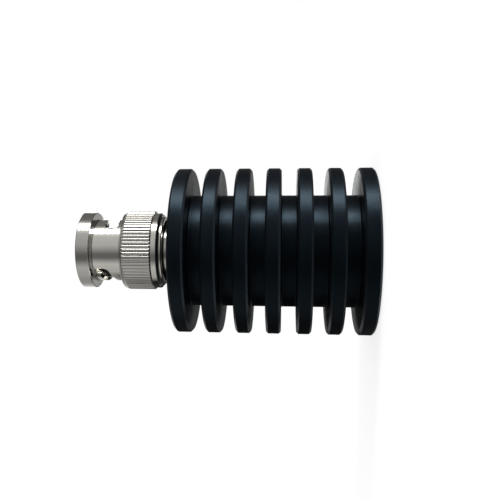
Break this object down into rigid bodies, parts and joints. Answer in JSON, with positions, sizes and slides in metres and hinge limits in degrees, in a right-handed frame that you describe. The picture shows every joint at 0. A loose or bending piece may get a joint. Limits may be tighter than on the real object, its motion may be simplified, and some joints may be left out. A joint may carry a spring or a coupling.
{
  "type": "rf dummy load",
  "caption": "Coaxial RF dummy load: black finned aluminium heat sink round a film resistor, with a nickel-plated bayonet plug whose knurled, sprung coupling nut turns.",
  "frame": {"origin": "centre of the heat sink's flat rear face, on which the load stands", "axes": "+Z along the common axis, from the rear face towards the mouth of the plug; X and Y across it"},
  "size_m": [0.03, 0.03, 0.0529],
  "materials": {
    "black_anodised": "turned, satin black anodised",
    "nickel_plate": "bright nickel plate on brass",
    "contact_plate": "nickel-plated spring bronze",
    "gasket_rubber": "moulded silicone rubber",
    "white_bead": "turned white fluoropolymer",
    "bare_brass": "turned brass",
    "gold_plate": "gold plate on brass",
    "silver_plate": "silver plate on brass",
    "spring_steel": "blued spring steel",
    "film_ceramic": "ceramic with a dark resistive film"
  },
  "bodies": {
    "load_body": {"heat_sink": "black_anodised", "plug_body": "nickel_plate", "outer_contact": "contact_plate", "front_gasket": "gasket_rubber", "front_insulator": "white_bead", "rear_insulator": "white_bead", "spacer_tube": "bare_brass", "insulator_bush": "bare_brass", "centre_pin": "gold_plate", "resistor_rod": "film_ceramic", "resistor_front_cap": "silver_plate", "resistor_rear_cap": "silver_plate", "taper_sleeve": "bare_brass", "sleeve_spring": "spring_steel", "front_wave_washer": "spring_steel", "rear_wave_washer": "spring_steel"},
    "thrust_carrier": {"thrust_washer": "spring_steel"},
    "nut": {"coupling_nut": "nickel_plate", "retaining_ring": "nickel_plate"}
  },
  "joints": [
    {"name": "nut_push", "type": "slide", "parent": "load_body", "child": "thrust_carrier", "axis": [0, 0, 1], "range_m": [0, 0.0008], "stiffness_N_per_m": 600, "springref_m": -0.0003, "deforming": ["front_wave_washer", "rear_wave_washer"]},
    {"name": "nut_turn", "type": "hinge", "parent": "thrust_carrier", "child": "nut", "pos_m": [0, 0, 0.0457], "axis": [0, 0, 1], "continuous": true}
  ]
}
